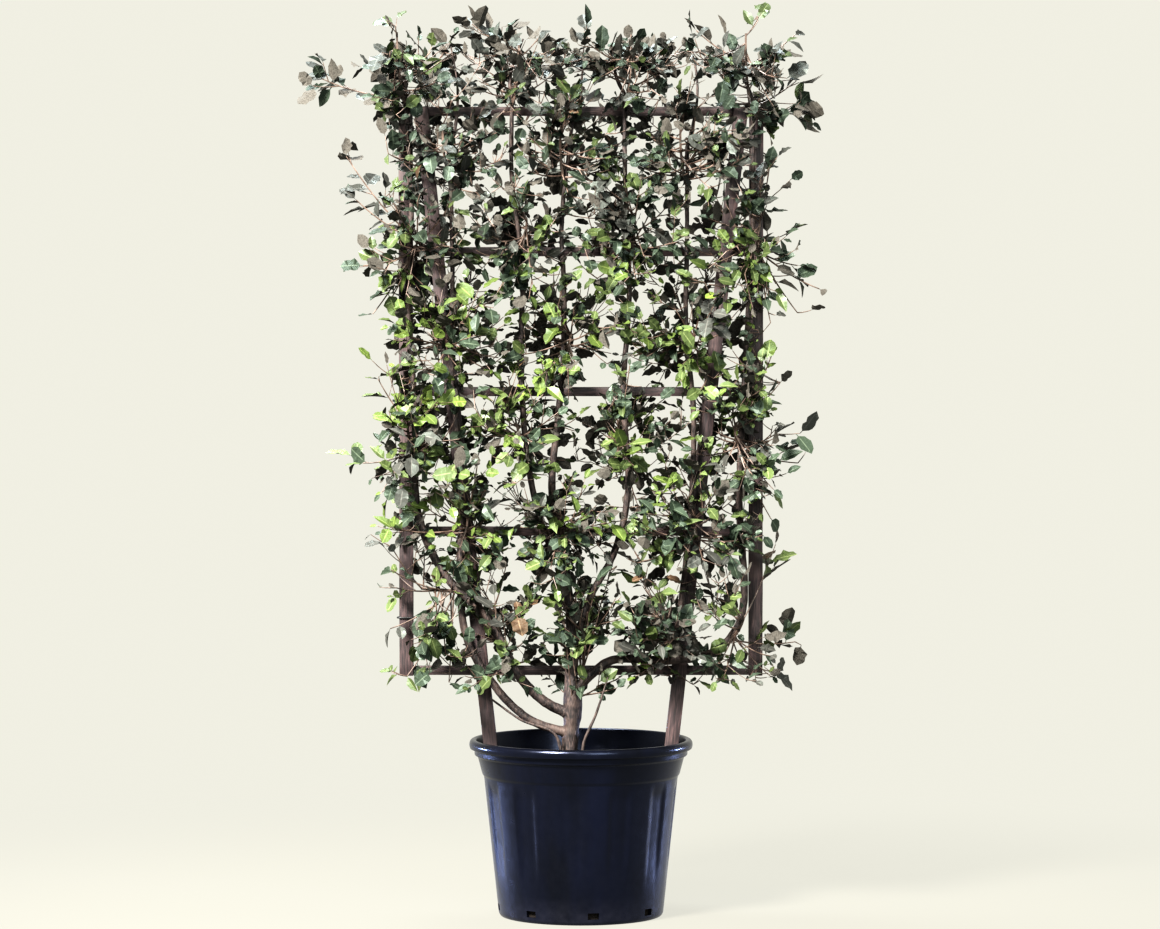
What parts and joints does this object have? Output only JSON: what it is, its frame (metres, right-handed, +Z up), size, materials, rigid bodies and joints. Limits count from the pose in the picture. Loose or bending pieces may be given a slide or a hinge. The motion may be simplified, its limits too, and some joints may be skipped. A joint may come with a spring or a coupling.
{
  "type": "potted espaliered silverberry",
  "caption": "Evergreen shrub trained flat as an espalier on a lath trellis, standing in a round fluted nursery pot.",
  "frame": {"origin": "centre of the pot's flat underside, on the surface it stands on", "axes": "+Z up along the trained plant, +X along the width of the trellis, +Y from its front to its back"},
  "size_m": [1.0662, 0.45, 1.8355],
  "materials": {
    "pot_plastic": "injection-moulded polypropylene, near black with a blue cast, satin gloss",
    "soil": "dark moist potting compost, crumbly",
    "stained_lath": "sawn softwood laths stained dark reddish brown",
    "bark": "smooth to finely fissured grey-brown bark",
    "foliage": "glossy leathery evergreen leaves, silvery grey-beige beneath"
  },
  "bodies": {
    "root": {"pot": "pot_plastic", "soil": "soil", "trellis_leg_left": "stained_lath", "trellis_upright_left": "stained_lath", "trellis_leg_right": "stained_lath", "trellis_upright_right": "stained_lath", "trellis_rail_1": "stained_lath", "trellis_rail_2": "stained_lath", "trellis_rail_3": "stained_lath", "trellis_rail_4": "stained_lath", "trellis_rail_5": "stained_lath", "trunk": "bark", "bough_left_arm": "bark", "bough_left": "bark", "bough_far_left_arm": "bark", "bough_far_left": "bark", "bough_far_right_arm": "bark", "bough_far_right": "bark", "bough_mid_right": "bark", "bough_mid_left": "bark", "bough_centre": "bark", "bough_right": "bark", "shoot_left": "bark", "shoot_right": "bark", "foliage_low_far_left": "foliage", "foliage_low_left": "foliage", "foliage_low_centre": "foliage", "foliage_low_right": "foliage", "foliage_low_far_right": "foliage", "foliage_left_1": "foliage", "foliage_centre_1": "foliage", "foliage_right_1": "foliage", "foliage_far_left_2": "foliage", "foliage_far_right_2": "foliage", "foliage_mid_right_2": "foliage", "foliage_mid_left_2": "foliage", "foliage_left_3": "foliage", "foliage_centre_3": "foliage", "foliage_right_3": "foliage", "foliage_far_left_4": "foliage", "foliage_far_right_4": "foliage", "foliage_mid_right_4": "foliage", "foliage_mid_left_4": "foliage", "foliage_left_5": "foliage", "foliage_centre_5": "foliage", "foliage_right_5": "foliage", "foliage_far_left_6": "foliage", "foliage_far_right_6": "foliage", "foliage_mid_right_6": "foliage", "foliage_mid_left_6": "foliage"}
  },
  "joints": []
}
